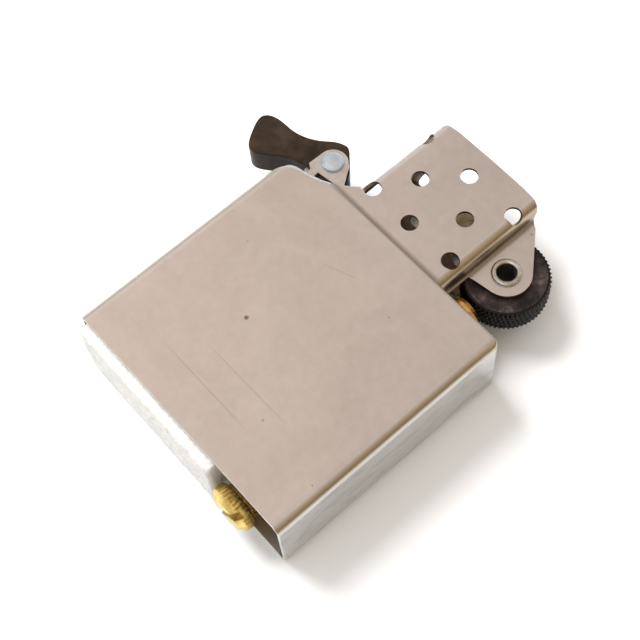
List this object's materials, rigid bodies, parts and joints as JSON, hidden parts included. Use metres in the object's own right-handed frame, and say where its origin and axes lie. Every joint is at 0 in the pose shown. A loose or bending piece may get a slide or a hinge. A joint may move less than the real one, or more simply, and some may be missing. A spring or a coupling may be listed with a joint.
{
  "type": "pocket lighter inside unit",
  "caption": "Inside unit of a wick-and-flint pocket lighter: steel tank with a perforated windscreen, knurled flint wheel, cam lever, wick, felt pad and brass flint screw.",
  "frame": {"origin": "on the back face, at the middle of the tank's width and level with the tank's open felt end", "axes": "+X across the width from the cam lever to the flint wheel, +Y along the length from the felt end to the chimney, +Z through the thickness from the back face to the front face"},
  "size_m": [0.045, 0.0527, 0.0114],
  "materials": {
    "case_steel": "satin, lightly scratched",
    "wheel_steel": "blackened, hub faces worn",
    "rivet_steel": "satin",
    "cam_bronze": "dark bronze, satin",
    "leaf_steel": "satin",
    "screw_brass": "worn",
    "spring_steel": "satin",
    "flint_alloy": "matt",
    "wick_cotton": "braided",
    "wick_copper": "tarnished",
    "packing_cotton": "matt",
    "felt_white": "fluffy"
  },
  "bodies": {
    "unit": {"tank_case": "case_steel", "top_plate": "case_steel", "windscreen": "case_steel", "flint_tube": "screw_brass", "wheel_rivet": "rivet_steel", "cam_rivet": "rivet_steel", "cam_spring": "leaf_steel", "spring_rivet": "rivet_steel", "packing_1": "packing_cotton", "packing_2": "packing_cotton", "packing_3": "packing_cotton", "packing_4": "packing_cotton", "packing_5": "packing_cotton", "felt_root": "felt_white"},
    "wheel": {"flint_wheel": "wheel_steel"},
    "cam": {"cam_lever": "cam_bronze"},
    "spring_stack": {"flint_spring": "spring_steel"},
    "screw": {"flint_screw": "screw_brass"},
    "follower": {"flint_follower": "screw_brass"},
    "flint": {"flint": "flint_alloy"},
    "wick": {"wick": "wick_cotton", "wick_wire": "wick_copper"},
    "felt": {"felt_flap": "felt_white"}
  },
  "joints": [
    {"name": "wheel_spin", "type": "hinge", "parent": "unit", "child": "wheel", "pos_m": [0.0111, 0.042, 0.0057], "axis": [0, 0, 1], "continuous": true},
    {"name": "cam_flip", "type": "hinge", "parent": "unit", "child": "cam", "pos_m": [-0.0149, 0.0371, 0.0057], "axis": [0, 0, 1], "range_deg": [-65, 0], "deforming": ["cam_spring"]},
    {"name": "screw_travel", "type": "slide", "parent": "unit", "child": "spring_stack", "axis": [0, -1, 0], "range_m": [0, 0.0049]},
    {"name": "screw_turn", "type": "hinge", "parent": "spring_stack", "child": "screw", "pos_m": [0.0107, 0, 0.0057], "axis": [0, -1, 0], "range_deg": [0, 2520]},
    {"name": "follower_slide", "type": "slide", "parent": "spring_stack", "child": "follower", "axis": [0, 1, 0], "range_m": [-0.003, 0], "deforming": ["flint_spring"]},
    {"name": "flint_feed", "type": "slide", "parent": "unit", "child": "flint", "axis": [0, 1, 0], "range_m": [-0.003, 0]},
    {"name": "felt_lift", "type": "hinge", "parent": "unit", "child": "felt", "pos_m": [0.0056, -0.0013, 0.0057], "axis": [0, 0, 1], "range_deg": [0, 80]},
    {"name": "wick_pull", "type": "slide", "parent": "unit", "child": "wick", "axis": [0, 1, 0], "range_m": [0, 0.004]}
  ],
  "couplings": [
    {"joint": "flint_feed", "follows": "follower_slide", "ratio": 1}
  ]
}
